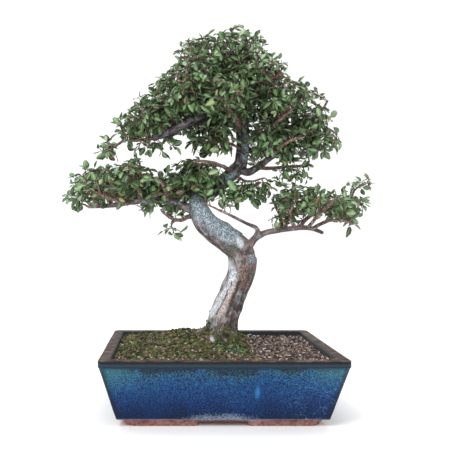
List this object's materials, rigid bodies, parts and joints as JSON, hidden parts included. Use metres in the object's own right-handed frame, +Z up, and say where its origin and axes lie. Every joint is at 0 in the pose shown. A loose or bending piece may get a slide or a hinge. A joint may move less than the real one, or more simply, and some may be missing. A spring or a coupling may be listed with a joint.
{
  "type": "chinese elm bonsai",
  "caption": "Small-leaved Chinese elm bonsai with a bent trunk and leafy pads, growing in mossy soil in a shallow rectangular blue-glazed pot.",
  "frame": {"origin": "the middle of the whole plant's outline seen from above, on the surface that the pot's feet stand on", "axes": "+Z up, +X to the right along the pot's long side, +Y away from the viewer of the pot's front"},
  "size_m": [0.3786, 0.2086, 0.4388],
  "materials": {
    "glazed_pot": "mottled blue glaze",
    "drain_screen": "woven mesh",
    "mossy_soil": "moss over bark crumbs and grit",
    "elm_bark": "fissured grey bark",
    "elm_leaf": "glossy green leaf"
  },
  "bodies": {
    "root": {"drain_screen_left": "drain_screen", "drain_screen_right": "drain_screen", "pot": "glazed_pot", "soil": "mossy_soil", "spray_centre_a": "elm_leaf", "spray_centre_b": "elm_leaf", "spray_crown_a": "elm_leaf", "spray_crown_b": "elm_leaf", "spray_crown_c": "elm_leaf", "spray_crown_d": "elm_leaf", "spray_crown_e": "elm_leaf", "spray_crown_f": "elm_leaf", "spray_crown_g": "elm_leaf", "spray_crown_h": "elm_leaf", "spray_crown_i": "elm_leaf", "spray_crown_j": "elm_leaf", "spray_crown_k": "elm_leaf", "spray_crown_l": "elm_leaf", "spray_crown_m": "elm_leaf", "spray_hanging": "elm_leaf", "spray_knuckle": "elm_leaf", "spray_leader_front": "elm_leaf", "spray_leader_left": "elm_leaf", "spray_leader_right": "elm_leaf", "spray_leader_top": "elm_leaf", "spray_left": "elm_leaf", "spray_left_a": "elm_leaf", "spray_left_b": "elm_leaf", "spray_left_c": "elm_leaf", "spray_left_d": "elm_leaf", "spray_left_e": "elm_leaf", "spray_left_f": "elm_leaf", "spray_left_far": "elm_leaf", "spray_left_loop": "elm_leaf", "spray_left_mid": "elm_leaf", "spray_low_up": "elm_leaf", "spray_lower_right_a": "elm_leaf", "spray_lower_right_b": "elm_leaf", "spray_lower_right_c": "elm_leaf", "spray_lower_right_d": "elm_leaf", "spray_lower_right_e": "elm_leaf", "spray_mid_left_a": "elm_leaf", "spray_mid_left_b": "elm_leaf", "spray_mid_right": "elm_leaf", "spray_mid_right_a": "elm_leaf", "spray_mid_right_b": "elm_leaf", "spray_mid_right_c": "elm_leaf", "spray_middle_up": "elm_leaf", "spray_right_back": "elm_leaf", "spray_right_front": "elm_leaf", "spray_right_under": "elm_leaf", "spray_right_up": "elm_leaf", "spray_stub_back": "elm_leaf", "spray_stub_end": "elm_leaf", "spray_stub_front": "elm_leaf", "trunk": "elm_bark"}
  },
  "joints": []
}
